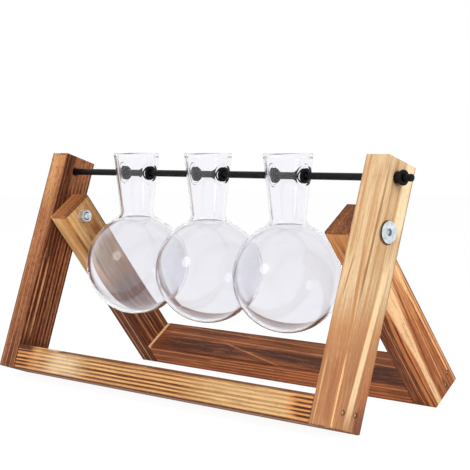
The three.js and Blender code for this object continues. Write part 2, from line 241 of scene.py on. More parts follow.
def burntWood(name, bar, wood):
    material, shader, place = newMaterial(name, IOR=1.45, Specular_IOR_Level=0.22)
    onBar = place.add("ShaderNodeMapping", {"vector_type": "TEXTURE"}, {
        "Vector": place, "Location": bar["centre"] * mm, "Rotation": (bar["lean"], 0, 0),
        "Scale": (mm, mm, mm)})
    t, w, l = barAxes(onBar, bar["along"])
    faces = {"t": (t, bar["thickness"] / 2), "w": (w, bar["width"] / 2), "l": (l, bar["length"] / 2)}
    sap, heart, ringLine, toast, char, charLine, markAndShadeColour = (
        srgb(*wood[key]) for key in ("sap", "heart", "line", "toast", "char", "charLine", "mark"))

    def onFace(side, skin):
        # 1 on a face such as "+t" and 0 below its skin
        axis, half = faces[side[1]]
        out = axis if side[0] == "+" else -axis
        return out.step(half - skin[0], half - skin[1])

    phase = growthRings(t, w, l, wood)
    line = ringTone(phase, wood["rise"], wood["vary"])
    thin = ringTone(phase, wood["thin"], wood["vary"]) if "thin" in wood else (1 - line * 1.3).larger(0.0)
    fibre, strand, streak, cloud = (
        vector(t * across + wood["seed"], w * across, l * along).noise(1.0, detail)
        for across, along, detail in grainSizes.values())
    speck = vector(t, w, l * speckNoise["stretch"] + wood["seed"]).noise(speckNoise["scale"])
    ragged = (fibre - 0.5) * flame["fibreShift"] + (cloud - 0.5) * flame["cloudShift"]

    # where the flame has been: ends, faces, edges and patches
    low, high, reach = wood["burntEnds"]
    end, full = bar["length"] / 2, reach * flame["fullAt"]
    burn = (l + ragged).step(reach - end, full - end) * low
    burn = burn.larger((l + ragged).step(end - reach, end - full) * high)
    for side, amount in wood["burntFaces"].items():
        burn = burn.larger(onFace(side, flame["face"]) * amount)
    for at, until, amount in wood["burntAlong"]:
        burn = burn.larger((l + ragged).step(at, until) * amount)
    deep, shallow = flame["edge"]
    nearT, nearW, nearL = (abs(axis).step(half - deep, half - shallow) for axis, half in faces.values())
    edge = (nearT * nearW).larger(nearL * nearT.larger(nearW))
    burn = burn.larger(edge * wood["burntEdges"])
    burn = (burn + cloud.step(0.5, 0.72) * wood["burntPatches"]).upTo(1.0)

    # fresh wood turns golden first, then black with pale lines
    fresh = (cloud * 0.7 + fibre * 0.5).step(0.35, 0.85).mix(sap, heart)
    warmth = burn.step(0.0, 0.5) * 0.8
    depth = wood["lineStrength"]
    for at, half, more in wood["strong"]:
        zone = abs(l - at + ragged).step(half * 1.4, half * 0.6)
        depth = zone * more + depth
        warmth = warmth.larger(zone * 0.45)
    fresh = warmth.mix(fresh, toast)
    dark = (line * depth).larger(streak.step(0.5, 0.72) * wood["streaks"])
    fresh = dark.upTo(1.0).mix(fresh, ringLine)
    light = thin * (streak.step(0.25, 0.6) * 0.6 + fibre * 0.5 + 0.25)
    light = light + strand.step(0.5, 0.72) * wood["strands"]
    burnt = light.upTo(1.0).mix(char, charLine)

    # streaks that the bar has of its own
    for face, at, half, (first, last), amount, shade, *form in wood["bands"]:
        form = streakForm | dict(*form)
        fade = form["fade"]
        across = w if face[1] == "t" else t
        middle = abs(across - (l * form["slope"] + at) + (strand - 0.5) * form["wander"])
        wide = (l * form["taper"] + half).larger(form["least"])
        mask = (middle / wide).step(*form["edge"]) * onFace(face, flame["edge"]) * amount
        frayed = l + ragged * (fade * form["frayed"])
        mask = mask * frayed.step(first, first + fade) * frayed.step(last, last - fade)
        fresh = mask.mix(fresh, srgb(*shade))
        burn = burn * (1 - mask)
    colour = burn.step(0.4, 1.0).mix(fresh, burnt)

    # darker discs round the nails, and painted shade round the bolt head, the rod's hole and the rod stop;
    # then specks, fibres and veins
    for at, across, radius, soft in wood["marksAndShade"]:
        markAndShadeDisc = radiusOf(l - at, w - across).step(radius, radius - soft)
        colour = (markAndShadeDisc * 0.75).mix(colour, markAndShadeColour)
    colour = (speck.step(0.5, 0.75) * wood["mottle"]).mix(colour, char)
    colour = (speck.step(0.45, 0.2) * wood["mottle"] * (1 - burn * 0.8)).mix(colour, sap)
    colour = (fibre.step(0.45, 0.75) * wood["grain"]).mix(colour, char)
    vein = strand * 0.7 + fibre * 0.3
    colour = (vein.step(0.5, 0.66) * wood["veins"]).mix(colour, char)
    colour = (vein.step(0.48, 0.34) * wood["veins"] * 0.7).mix(colour, sap)

    rough = burn * 0.16 + fibre * 0.2 + 0.46
    height = line * 0.7 + fibre * 0.45
    feed(shader, Base_Color=colour, Roughness=rough, Normal=bump(height, 0.3, 0.0004))
    return material


def newTree(name, inputs):
    # a start for the nodes of a group, and what reads its named inputs
    tree = bpy.data.node_groups.new(name, "GeometryNodeTree")
    tree.interface.new_socket("Geometry", in_out="OUTPUT", socket_type="NodeSocketGeometry")
    for label, kind in inputs.items():
        tree.interface.new_socket(label, in_out="INPUT", socket_type="NodeSocket" + kind)
    group = tree.nodes.new("NodeGroupInput")
    return Wire(tree), lambda label: Wire(tree, group.outputs[label])


def endTree(start, shape, material):
    whole = start.add("GeometryNodeRealizeInstances", {}, {"Geometry": shape})
    painted = start.add("GeometryNodeSetMaterial", {}, {"Geometry": whole, "Material": material})
    output = start.tree.nodes.new("NodeGroupOutput")
    start.tree.links.new(painted.socket, output.inputs["Geometry"])
    return start.tree


def barTree(wood, along):
    # a rounded bar with its soft rings brushed out, in place and drilled
    start, given = newTree("brushedBar", {
        "Size": "Vector", "Counts": "Vector", "Edge Share": "Vector", "Edge Radius": "Float",
        "Relief": "Float", "Centre": "Vector", "Lean": "Vector", "Drill": "Object", "Wood": "Material"})

    def combine(operation, *vectors):
        return start.add("ShaderNodeVectorMath", {"operation": operation}, dict(enumerate(vectors)))

    def scaled(offset, factor):
        return start.add("ShaderNodeVectorMath", {"operation": "SCALE"}, {0: offset, "Scale": factor})

    countX, countY, countZ = given("Counts").parts()
    block = start.add("GeometryNodeMeshCube", {}, {
        "Size": given("Size"), "Vertices X": countX, "Vertices Y": countY, "Vertices Z": countZ})
    half = combine("MULTIPLY", given("Size"), (0.5, 0.5, 0.5))
    rounding = given("Edge Radius")
    radius = vector(rounding, rounding, rounding)
    core = combine("SUBTRACT", half, radius)
    position = start.add("GeometryNodeInputPosition")
    away = combine("DIVIDE", combine("ABSOLUTE", position), half)
    flatShare = combine("SUBTRACT", (1, 1, 1), given("Edge Share"))
    inCore = combine("MULTIPLY", combine("MINIMUM", combine("DIVIDE", away, flatShare), (1, 1, 1)), core)
    past = combine("DIVIDE", combine("SUBTRACT", away, flatShare), given("Edge Share"))
    inEdge = combine("MULTIPLY", combine("MAXIMUM", past, (0, 0, 0)), radius)
    normal = combine("NORMALIZE", inEdge)
    sign = combine("SIGN", position)
    rounded = combine("MULTIPLY", combine("ADD", inCore, combine("MULTIPLY", normal, radius)), sign)

    rings = growthRings(*barAxes(scaled(rounded, 1 / mm), along), wood)
    sunk = (1 - ringTone(rings, (0.05, 0.6), wood["vary"], (1.0, 0.6))) * given("Relief")
    inward = scaled(combine("MULTIPLY", normal, sign), -sunk)
    shaped = start.add("GeometryNodeSetPosition", {}, {
        "Geometry": block, "Position": combine("ADD", rounded, inward)})
    placed = start.add("GeometryNodeTransform", {}, {
        "Geometry": shaped, "Translation": given("Centre"), "Rotation": given("Lean")})
    onTable = combine("MAXIMUM", position, (-9, -9, 0))  # the foot's edge is rubbed flat
    stood = start.add("GeometryNodeSetPosition", {}, {"Geometry": placed, "Position": onTable})
    cutter = start.add("GeometryNodeObjectInfo", {}, {"Object": given("Drill")}, "Geometry")
    drilled = start.add("GeometryNodeMeshBoolean", {"operation": "DIFFERENCE", "solver": "EXACT"},
                        {"Mesh 1": stood, "Mesh 2": cutter})
    soft = start.add("GeometryNodeInputMeshEdgeAngle").math("LESS_THAN", sharpFrom["bar"])
    smooth = start.add("GeometryNodeSetShadeSmooth", {"domain": "EDGE"},
                       {"Geometry": drilled, "Shade Smooth": soft})
    return endTree(start, smooth, given("Wood"))


def runTree(name, tree, values, source=None):
    # runs the tree on an object of its own and keeps the plain mesh
    piece = newObject(name, source or bpy.data.meshes.new(name))
    modifier = piece.modifiers.new("nodes", "NODES")
    modifier.node_group = tree
    for item in tree.interface.items_tree:
        if item.in_out == "INPUT" and item.name in values:
            modifier[item.identifier] = values[item.name]
    settle(piece, modifier)
    return piece


# Turned pieces: rows of radius and distance along the axis, either of which may follow the angle

def turned(name, rows, sides, axis, closed=False, placed=None):
    mesh = bmesh.new()
    rings = []
    for radius, along in rows:
        ring = []
        for i in range(1 if radius == 0 else sides):
            angle = math.tau * i / sides
            r = radius(angle) if callable(radius) else radius
            a = along(angle) if callable(along) else along
            u, v = r * math.cos(angle), r * math.sin(angle)
            ring.append(mesh.verts.new((a, u, v) if axis == "x" else (u, v, a)))
        rings.append(ring)
    pairs = list(zip(rings, rings[1:])) + ([(rings[-1], rings[0])] if closed else [])
    for near, far in pairs:
        for i in range(sides):
            ends = ((near, i), (near, i + 1), (far, i + 1), (far, i))
            corners = [ring[at % len(ring)] for ring, at in ends]
            mesh.faces.new(list(dict.fromkeys(corners)))
    bmesh.ops.recalc_face_normals(mesh, faces=mesh.faces)
    for face in mesh.faces:
        face.smooth = True
    piece = objectFrom(name, mesh, placed or Matrix.Identity(4))
    piece.data.set_sharp_from_angle(angle=sharpFrom["turned"])
    return piece


def arc(centre, radius, start, end, steps):
    # points of an arc in radius and distance along the axis, angles in degrees
    angles = [math.radians(start + (end - start) * i / steps) for i in range(steps + 1)]
    return [(centre[0] + radius * math.cos(a), centre[1] + radius * math.sin(a)) for a in angles]


# The two frames, measured from the pivot along their own lean

frames = {
    "front": {"body": "front_frame", "lean": math.radians(-18.5), "foot": -116.6, "head": 43.2,
              "railEnd": 139.75, "outer": 157.2},
    "rear": {"body": "rear_frame", "lean": math.radians(37.6), "foot": -134.647, "head": 9.4,
             "railEnd": 122.05, "outer": 139.5},
}
section = {"thickness": 17.4, "width": 26.6, "edgeRadius": 0.9, "relief": 0.07, "edgeCells": 3, "fewest": 6,
           "stepAcross": 0.55, "stepAlong": 2.4, "longFrom": 100}
holes = {"rod": (-2.5, 32.2, 2.55), "bolt": (0.0, 0.0, 2.8), "nailRadius": 1.25, "pilotRadius": 1.0,
         "pilotDepth": 14, "outside": 5, "through": 20, "sides": 24}
nailPlaces = {  # behind the bar's middle, and above its foot
    "front": ((-5.9, 10.0), (5.3, 10.5)),
    "rear": ((2.8, 5.2), (8.4, 10.6)),
}


def inPart(frameName, x, y, z):
    return pivot + Matrix.Rotation(frames[frameName]["lean"], 3, "X") @ Vector((x, y, z))


def drillPins(name, bar):
    # one object of round pins, cut out of a bar
    side = frames[bar["frame"]]
    nails = [(y, side["foot"] + rise) for y, rise in nailPlaces[bar["frame"]]]
    if bar["along"] == "z":
        ends = (bar["x"] - holes["through"], bar["x"] + holes["through"])
        spots = [(*holes["bolt"], *ends)]
        if bar["frame"] == "front":
            spots.append((*holes["rod"], *ends))
        spots += [(*nail, holes["nailRadius"], *ends) for nail in nails]
    else:
        inner, outer = side["railEnd"] - holes["pilotDepth"], side["railEnd"] + holes["outside"]
        spots = [(*nail, holes["pilotRadius"], *ends)
                 for nail in nails for ends in ((-outer, -inner), (inner, outer))]
    pins = bmesh.new()
    for y, z, radius, low, high in spots:
        made = bmesh.ops.create_cone(pins, cap_ends=True, segments=holes["sides"], radius1=radius,
                                     radius2=radius, depth=high - low)
        turn = Matrix.Translation(((low + high) / 2, y, z)) @ Matrix.Rotation(math.pi / 2, 4, "Y")
        bmesh.ops.transform(pins, matrix=turn, verts=made["verts"])
    return objectFrom(name, pins, Matrix.Translation(pivot) @ Matrix.Rotation(side["lean"], 4, "X"))


def makeBar(name, node, slot, wood, frameName, x=None):
    # a bar up the frame at x, or without x the rail at its foot
    side = frames[frameName]
    thickness, width = section["thickness"], section["width"]
    bar = {"frame": frameName, "x": x, "lean": side["lean"], "thickness": thickness, "width": width}
    if x is None:
        bar |= {"along": "x", "length": 2 * side["railEnd"]}
        middle = (0, 0, side["foot"] + thickness / 2)
        size = Vector((bar["length"], width, thickness))
    else:
        bar |= {"along": "z", "length": side["head"] - side["foot"]}
        middle = (x, 0, (side["head"] + side["foot"]) / 2)
        size = Vector((thickness, width, bar["length"]))
    bar["centre"] = inPart(frameName, *middle)
    steps = [section["stepAlong" if length > section["longFrom"] else "stepAcross"] for length in size]
    cells = [max(section["fewest"], round(length / step)) + 2 * section["edgeCells"]
             for length, step in zip(size, steps)]
    drill = drillPins(name + "Drill", bar)
    piece = runTree(name, barTree(wood, bar["along"]), {
        "Size": size * mm, "Counts": Vector(cells) + Vector((1, 1, 1)),
        "Edge Share": Vector([2 * section["edgeCells"] / count for count in cells]),
        "Edge Radius": section["edgeRadius"] * mm, "Relief": section["relief"] * mm,
        "Centre": bar["centre"] * mm, "Lean": Vector((side["lean"], 0, 0)),
        "Drill": drill, "Wood": burntWood(name + "Wood", bar, wood)})
    bpy.data.objects.remove(drill)
    finish(piece, side["body"], slot, node)
    print(name, len(piece.data.polygons), "faces")


# burntEnds: low end, high end, reach. burntAlong: none from, full at, strength
# strong: middle along, half length, more depth
# bands, the streaks: face, middle across it, half width, reach along, strength, colour, other form
# marks: darker discs round the nails, and painted shade round the bolt head, the rod's hole and the rod stop;
# along, across, radius, soft edge
plainWood = {  # what a bar's wood has where its own settings don't say
    "curl": 0.5, "uneven": 1.6, "vary": 0.6, "strong": (), "grain": 0.2, "strands": 0.3,
    "veins": 0.15, "mark": (58, 32, 22), "burntAlong": (), "burntPatches": 0.1, "marksAndShade": (),
}

leftUprightWood = plainWood | {
    "seed": 1, "pith": (2, -88), "spacing": 3.1, "sway": 1.6, "swayLength": 80, "curl": 0.3,
    "uneven": 1.2, "rise": (0.4, 0.8), "thin": (0.5, 0.8), "mottle": 0.75, "strands": 0.2, "veins": 0.3,
    "sap": (204, 145, 93), "heart": (169, 109, 68), "line": (108, 62, 36), "lineStrength": 0.5,
    "streaks": 0.4, "toast": (150, 91, 56), "char": (68, 31, 18), "charLine": (150, 90, 58),
    "burntEnds": (0.6, 0, 46), "burntFaces": {"+t": 0.97, "-l": 0.95},
    "burntAlong": ((90, -90, 0.85),), "burntEdges": 0.85,
    "bands": (
        ("+t", 3, 8, (44, 100), 0.35, (190, 126, 88), {"fade": 20}),
        ("+t", -10.6, 0.7, (-70, 22), 0.85, (206, 140, 92), {"fade": 30}),
        ("+t", -6.2, 0.7, (-70, 22), 0.9, (214, 152, 104), {"fade": 30}),
        ("+t", -1, 0.6, (-68, 90), 0.75, (170, 102, 68), {"fade": 22}),
        ("+t", 2, 0.6, (-68, 90), 0.65, (164, 98, 64), {"fade": 22}),
        ("+t", 5, 0.65, (-68, 90), 0.8, (178, 110, 74), {"fade": 22}),
        ("+t", 8, 0.65, (-68, 90), 0.8, (182, 114, 78), {"fade": 22}),
        ("+t", 10.8, 0.6, (-68, 90), 0.75, (190, 122, 84), {"fade": 22}),
        ("+t", 12.5, 0.7, (-90, 90), 0.85, (44, 20, 12)),
        ("-w", -8, 0.7, (-90, 60), 0.75, (76, 48, 36)),
        ("-w", -3.4, 3.4, (36, 100), 0.75, (206, 154, 104), {"fade": 24}),
        ("-w", 6.6, 1.6, (-90, 72), 0.55, (100, 60, 38), {"fade": 16}),
        ("-w", 0.6, 0.7, (-60, 40), 0.4, (116, 70, 44), {"slope": 0.01}),
        ("-w", -6.3, 0.5, (-90, 70), 0.5, (204, 142, 104)),
        ("-w", -1.6, 0.45, (-90, 60), 0.4, (196, 132, 94)),
        ("-w", 3.6, 0.45, (-90, 40), 0.4, (190, 128, 92)),
    ),
    # painted shade round the rod's hole
    "marksAndShade": ((68.9, -2.5, 3.7, 0.7),),
}
makeBar("leftUpright", "left_upright", "honey_wood", leftUprightWood, "front", -148.5)

rightUprightWood = plainWood | {
    "seed": 2, "pith": (-45, -60), "spacing": 5.4, "sway": 4, "swayLength": 50, "curl": 0.9,
    "rise": (0.1, 0.8), "thin": (0.4, 0.75), "mottle": 0.18, "grain": 0.08, "strands": 0.6, "veins": 0.18,
    "sap": (220, 193, 154), "heart": (200, 167, 125), "line": (160, 110, 66), "lineStrength": 0.45,
    "streaks": 0.35, "toast": (178, 118, 72), "char": (112, 56, 32), "charLine": (206, 142, 92),
    "burntEnds": (0.66, 0, 92), "burntFaces": {"-l": 0.95}, "burntEdges": 0.1, "burntPatches": 0.03,
    # darker discs round the two nails, then painted shadow round the bolt head and beside the rod stop
    "marksAndShade": ((-70, -5.9, 2.2, 1), (-69.5, 5.3, 2.2, 1), (36.2, -0.7, 7.4, 0.3), (68.9, -1.3, 4.9, 0.8)),
    "bands": (
        ("-w", -4.5, 1.1, (14, 86), 0.8, (184, 140, 92)),
        ("-w", -3.2, 0.7, (-10, 24), 0.8, (164, 114, 64), {"slope": 0.1}),
        ("-w", 4.3, 1.2, (18, 76), 0.75, (186, 142, 96)),
        ("-w", 6, 1.2, (-34, 30), 0.85, (172, 122, 76), {"slope": -0.05}),
        ("+t", -12, 1, (-20, 84), 0.8, (154, 104, 60), {"slope": 0.02, "fade": 30}),
        ("+t", -6.3, 1.3, (-18, 84), 0.8, (182, 134, 84), {"slope": 0.03}),
        ("+t", 0.2, 0.9, (-24, 74), 0.75, (184, 134, 84), {"slope": 0.03}),
        ("+t", 7, 4, (34, 90), 0.75, (250, 224, 184), {"slope": 0.02}),
        ("+t", 12.6, 0.7, (-90, 90), 0.8, (150, 98, 62)),
        ("-w", -8.1, 0.6, (-90, 90), 0.6, (160, 122, 88)),
        ("-w", 1.6, 2.2, (-84, -34), 0.75, (150, 94, 62), {"slope": -0.02}),
        ("-w", -7.2, 0.8, (-84, -26), 0.6, (146, 92, 58)),
        ("-w", -3, 0.8, (-84, -36), 0.6, (142, 88, 56), {"slope": 0.01}),
        ("-w", 6, 0.8, (-84, -30), 0.6, (148, 94, 60)),
        ("-w", -5.2, 0.5, (-90, -36), 0.55, (222, 170, 120), {"fade": 16}),
        ("-w", 8.2, 0.5, (-90, -34), 0.75, (236, 184, 130), {"fade": 16}),
        ("+t", 4.6, 2.4, (-90, 34), 0.9, (238, 206, 160), {"slope": 0.075, "fade": 30}),
        ("+t", 13, 6, (-90, -34), 0.75, (158, 84, 50), {"fade": 26}),
        ("+t", 12, 7, (-95, -56), 0.8, (104, 54, 38), {"fade": 16}),
    ),
}
makeBar("rightUpright", "right_upright", "pale_wood", rightUprightWood, "front", 148.5)

frontRailWood = plainWood | {
    "seed": 3, "pith": (-90, 14), "spacing": 2.5, "sway": 1.2, "swayLength": 90, "curl": 0.25,
    "uneven": 0.5, "rise": (0.3, 0.6), "vary": 0.3,
    "strong": ((-14, 58, 0.6), (-96, 24, 0.45)), "mottle": 0.2, "strands": 0,
    "sap": (220, 182, 128), "heart": (200, 155, 102), "line": (96, 50, 16), "lineStrength": 0.55,
    "streaks": 0.1, "toast": (218, 152, 92), "char": (72, 32, 14), "charLine": (210, 144, 88),
    "burntEnds": (0.97, 0.97, 27), "burntFaces": {"-t": 0.95}, "burntEdges": 0.5,
    "bands": (
        ("-w", 0, 30, (-116, -58), 0.38, (255, 232, 192), {"fade": 24}),
        ("-t", 0, 30, (-150, 150), 0.95, (158, 98, 58)),
        ("-w", 8, 0.9, (-100, 150), 0.9, (84, 50, 28)),
        ("-w", 6.4, 0.6, (-120, 100), 0.6, (150, 92, 40)),
        ("-w", 7.2, 1.8, (-150, -118), 0.95, (60, 24, 8)),
        ("-w", -8.3, 0.7, (-150, 150), 0.85, (64, 34, 17)),
    ),
}
makeBar("frontRail", "front_rail", "pale_wood", frontRailWood, "front")

leftLegWood = plainWood | {
    "seed": 4, "pith": (8, -64), "spacing": 4.4, "sway": 3, "swayLength": 60, "rise": (0.5, 0.8),
    "thin": (0.8, 0.92), "mottle": 0.3, "grain": 0.15, "sap": (236, 188, 128), "heart": (214, 160, 104),
    "line": (156, 96, 50), "lineStrength": 0.7, "streaks": 0.35, "toast": (186, 118, 60),
    "char": (88, 40, 22), "charLine": (206, 142, 100), "burntEnds": (0.9, 0, 20),
    "burntFaces": {"+l": 0.6, "-l": 0.95}, "burntAlong": ((22, -12, 0.97),), "burntEdges": 0.6,
    "bands": (
        ("+l", 0, 30, (0, 90), 0.8, (136, 78, 40)),
        ("+l", 7, 2.2, (0, 90), 0.8, (98, 48, 20)),
        ("+l", 2.2, 0.9, (0, 90), 0.6, (110, 60, 30)),
        ("+l", -2.6, 0.8, (0, 90), 0.55, (112, 64, 34)),
        ("+l", -5.6, 0.6, (0, 90), 0.5, (184, 120, 72)),
        ("+t", -12.6, 0.8, (20, 62), 0.85, (112, 66, 26)),
        ("+t", 3.6, 3.4, (34, 58), 0.75, (166, 88, 34)),
        ("+t", -3.6, 1.2, (30, 54), 0.7, (128, 76, 34)),
        ("+t", 12.6, 0.7, (-80, 80), 0.75, (104, 78, 48)),
        ("-w", 5.6, 3, (20, 80), 0.6, (178, 118, 60)),
        ("-w", -7.4, 0.6, (20, 80), 0.6, (238, 194, 138)),
        ("-w", -8.2, 0.6, (-80, 50), 0.85, (40, 20, 12)),
        ("-w", -3.8, 0.55, (-80, 0), 0.85, (206, 140, 98), {"slope": 0.01}),
        ("-w", 3.9, 0.6, (-80, 0), 0.9, (220, 152, 104), {"slope": 0.02}),
        ("+t", -7.1, 0.45, (-70, -10), 0.85, (202, 136, 96)),
        ("+t", -0.2, 0.45, (-70, -16), 0.85, (202, 136, 96)),
        ("+t", 8.8, 0.5, (-70, -16), 0.85, (206, 140, 98)),
    ),
}
makeBar("leftLeg", "left_rear_leg", "honey_wood", leftLegWood, "rear", -130.8)

rightLegWood = plainWood | {
    "seed": 5, "pith": (-20, -50), "spacing": 2.8, "sway": 4, "swayLength": 70, "curl": 0.6,
    "rise": (0.3, 0.7), "thin": (0.55, 0.8), "mottle": 0.3, "strands": 0.4, "veins": 0.4,
    "sap": (226, 164, 108), "heart": (198, 130, 82), "line": (128, 70, 38), "lineStrength": 0.8,
    "streaks": 0.5, "toast": (180, 105, 58), "char": (90, 42, 23), "charLine": (236, 148, 84),
    "burntEnds": (0.75, 0.2, 30), "burntFaces": {"+l": 1, "-l": 0.95, "-w": 0.92},
    "burntAlong": ((50, -60, 0.62),), "burntEdges": 0.5, "burntPatches": 0.15,
    "marksAndShade": ((-66.8, 2.8, 2, 0.9), (-61.4, 8.4, 2, 0.9)),
    "bands": (
        ("-w", 0, 30, (22, 90), 0.85, (202, 140, 84), {"fade": 24}),
        ("-w", -5.2, 0.6, (30, 70), 0.5, (150, 92, 52)),
        ("-w", -0.8, 0.7, (30, 68), 0.7, (134, 80, 42)),
        ("-w", 2.2, 0.6, (30, 66), 0.65, (138, 84, 46), {"slope": -0.03}),
        ("-w", 6.2, 0.7, (30, 70), 0.6, (140, 84, 48)),
        ("+l", 0, 30, (0, 90), 0.85, (90, 48, 22)),
        ("+l", 3.6, 1.6, (0, 90), 0.7, (84, 42, 24)),
        ("+l", -2.2, 0.9, (0, 90), 0.55, (146, 84, 48)),
        ("+l", -7.9, 0.8, (0, 90), 0.9, (40, 24, 16)),
        ("+t", 0.6, 0.8, (-66, 40), 0.8, (112, 58, 32), {"slope": 0.09}),
        ("+t", -7, 4.9, (-90, 40), 0.95, (238, 195, 146), {"slope": 0.02, "taper": 0.085, "least": 2.1}),
        ("+t", 8, 0.6, (-70, 40), 0.8, (108, 56, 30)),
        ("+t", 9.3, 0.6, (-66, 40), 0.9, (236, 178, 120)),
        ("+t", 8.6, 0.4, (-20, 40), 0.85, (238, 190, 132), {"taper": 0.09}),
        ("+t", 4.6, 0.45, (-64, 0), 0.6, (216, 152, 102), {"slope": 0.05}),
        ("+t", 2.4, 0.4, (-70, -14), 0.6, (122, 64, 38), {"slope": 0.04}),
        ("+t", 6.2, 0.4, (-70, 10), 0.6, (122, 64, 38), {"slope": 0.02}),
        ("+t", 11.4, 0.5, (-80, 80), 0.7, (222, 160, 106)),
        ("+t", 12.8, 0.7, (-80, 80), 0.85, (70, 40, 28)),
    ),
}
makeBar("rightLeg", "right_rear_leg", "red_wood", rightLegWood, "rear", 130.8)

rearRailWood = plainWood | {
    "seed": 6, "pith": (-34, 24), "spacing": 2.4, "sway": 6, "swayLength": 110, "curl": 0.7,
    "rise": (0.35, 0.75), "thin": (0.6, 0.8), "mottle": 0.28, "strands": 0.2, "veins": 0.4,
    "sap": (206, 122, 66), "heart": (168, 94, 48), "line": (84, 42, 20), "lineStrength": 0.9, "streaks": 0.5,
    "toast": (158, 92, 55), "char": (70, 34, 21), "charLine": (186, 118, 74), "burntEnds": (0.6, 0.6, 30),
    "burntFaces": {"+t": 0.97, "-w": 0.35}, "burntEdges": 0.5, "burntPatches": 0.2,
    "bands": (
        ("+t", 0, 12, (-150, 150), 0.6, (112, 66, 44)),
        ("+t", -5.6, 4.4, (-126, -6), 0.85, (60, 32, 25), {"fade": 30, "taper": -0.02}),
        ("+t", -3.2, 3.2, (-34, 150), 0.85, (58, 31, 24), {"slope": -0.05, "taper": 0.06, "fade": 24}),
        ("+t", 8.9, 0.55, (-106, 130), 0.8, (184, 122, 82), {"slope": -0.025}),
        ("+t", 2.4, 0.6, (-116, 130), 0.85, (186, 122, 82), {"slope": -0.018}),
        ("+t", -0.1, 0.5, (-114, -40), 0.7, (170, 110, 72), {"slope": -0.005}),
        ("+t", -10, 0.6, (-54, 16), 0.8, (186, 122, 80), {"slope": -0.22, "fade": 12}),
        ("+t", 12.6, 0.7, (-130, 130), 0.85, (52, 30, 22)),
        ("-w", 6.2, 0.5, (-130, 60), 0.8, (224, 136, 76)),
        ("-w", 3.4, 0.5, (-60, 150), 0.8, (228, 140, 78)),
        ("-w", 0.4, 0.5, (-130, 90), 0.8, (224, 136, 76)),
        ("-w", -2.8, 0.5, (-90, 150), 0.8, (220, 132, 74)),
        ("-w", -5.6, 0.5, (-130, 150), 0.8, (214, 128, 72)),
        ("-w", -7.9, 0.7, (-150, 150), 0.6, (84, 46, 30)),
        ("+t", 0, 30, (-130, -118), 0.95, (244, 196, 146), {"fade": 1}),
    ),
}
makeBar("rearRail", "rear_rail", "dark_wood", rearRailWood, "rear")
print("wooden bars done")

# Metal and rubber finishes

boltPaintedShade = {  # where the painted shade starts and is full: radii from the bolt, and distances from the stand's middle
    "onHead": (156.8, 157.2), "socket": (2.5, 2.1), "socketShare": 0.6, "foot": (5.8, 6.4),
    "footHeight": (158.3, 157.8), "ringIn": (2.2, 2.5), "ringOut": (3.2, 2.9),
}


def brushedMetal(name, colour, dull, roughness, paintedShade=None):
    material, shader, place = newMaterial(name, Metallic=1.0)
    fine = place.noise(2600.0)
    broad = place.noise(320.0, 3.0)
    tone = (fine * 0.5 + broad * 0.5).step(0.35, 0.7).mix(colour, dull)
    if paintedShade:  # painted shade in the sockets, at the heads' rims by the wood, and round the bolts' ends
        x, y, z = (part / mm for part in place.parts())
        radius = radiusOf(y - pivot.y, z - pivot.z)
        onHead = abs(x).step(*boltPaintedShade["onHead"])
        ring = radius.step(*boltPaintedShade["ringIn"]) * radius.step(*boltPaintedShade["ringOut"]) * (1 - onHead)
        foot = radius.step(*boltPaintedShade["foot"]) * abs(x).step(*boltPaintedShade["footHeight"]) * onHead
        socket = radius.step(*boltPaintedShade["socket"]) * onHead * boltPaintedShade["socketShare"]
        tone = ring.larger(socket).larger(foot).mix(tone, paintedShade)
    feed(shader, Base_Color=tone, Roughness=fine * 0.14 + broad * 0.12 + roughness,
         Normal=bump(fine + broad, 0.12, 0.0001))
    return material


def blackFinish(name, colour, lighter, roughness, grain):
    material, shader, place = newMaterial(name, IOR=1.5, Specular_IOR_Level=0.14)
    fine = place.noise(grain)
    broad = place.noise(grain * 0.12)
    tone = (fine * 0.4 + broad * 0.6).step(0.4, 0.75).mix(colour, lighter)
    feed(shader, Base_Color=tone, Roughness=fine * 0.12 + broad * 0.1 + roughness,
         Normal=bump(fine, 0.1, 0.0001))
    return material


# the last colour is the painted shade in the sockets, at the heads' rims and round the bolts' ends
zincPlate = brushedMetal("zincPlate", srgb(240, 245, 250), srgb(172, 186, 198), 0.2, srgb(74, 88, 100))
nailSteel = brushedMetal("nailSteel", srgb(212, 180, 148), srgb(146, 108, 78), 0.34)
blackRod = blackFinish("blackRod", srgb(5, 5, 6), srgb(15, 15, 16), 0.32, 900.0)
blackRubber = blackFinish("blackRubber", srgb(6, 6, 7), srgb(18, 18, 20), 0.4, 1500.0)


def paint(piece, material):
    piece.data.materials.clear()
    piece.data.materials.append(material)
    return piece


# Nails of the corner joints, one set for each frame

nailShape = {"radius": 0.8, "headRadius": 1.1, "headHeight": 0.8, "rim": 0.3, "bevel": 0.1, "sink": 0.2,
             "dome": 0.12, "length": 30.9, "point": 2.5, "sides": 20}


def nailTree():
    start, given = newTree("nailSet", {"Places": "Geometry", "Nail": "Object", "Steel": "Material"})
    nail = start.add("GeometryNodeObjectInfo", {}, {"Object": given("Nail")}, "Geometry")
    onRight = start.add("GeometryNodeInputPosition").parts()[0].math("GREATER_THAN", 0.0)
    nails = start.add("GeometryNodeInstanceOnPoints", {}, {
        "Points": given("Places"), "Instance": nail, "Rotation": vector(0.0, 0.0, onRight * math.pi)})
    return endTree(start, nails, given("Steel"))


def nailRows():
    head, sink, dome = nailShape["headRadius"], nailShape["sink"], nailShape["dome"]
    shank, length, bevel = nailShape["radius"], nailShape["length"], nailShape["bevel"]
    under = sink + nailShape["headHeight"]
    return [(0, sink), (head * 0.55, sink + dome * 0.3), (head * 0.9, sink + dome),
            (head, sink + nailShape["rim"]), (head, under - bevel), (head - bevel, under), (shank, under),
            (shank, length - nailShape["point"]), (0, length)]


